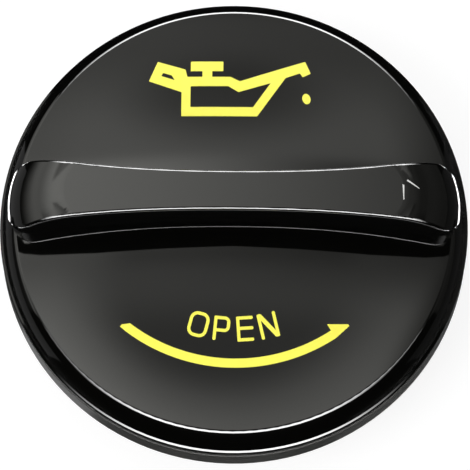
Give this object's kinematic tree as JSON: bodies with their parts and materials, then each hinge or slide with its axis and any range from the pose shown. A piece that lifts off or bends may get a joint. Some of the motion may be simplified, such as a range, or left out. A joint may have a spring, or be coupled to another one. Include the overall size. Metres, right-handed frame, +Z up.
{
  "type": "oil filler cap",
  "caption": "Round black oil filler cap with a waisted grip bar across its domed face, on a hollow plug with bayonet lugs and a rubber sealing ring.",
  "frame": {"origin": "on the cap's axis, in the sealing plane where the neck seal's lower face meets the filler neck", "axes": "+Z up along the cap's axis, out of the neck towards the grip; the grip bar runs along X, and the word on the face reads from -Y"},
  "size_m": [0.072, 0.072, 0.0379],
  "materials": {
    "cover_gloss_black": "glossy black moulded plastic",
    "plug_matt_black": "matt black glass-filled plastic with a fine moulded grain",
    "seal_rubber": "black oil-resistant rubber",
    "face_print_yellow": "yellow pad print on the face"
  },
  "bodies": {
    "root": {"head_cover": "cover_gloss_black", "plug_body": "plug_matt_black", "neck_seal": "seal_rubber"}
  },
  "joints": []
}
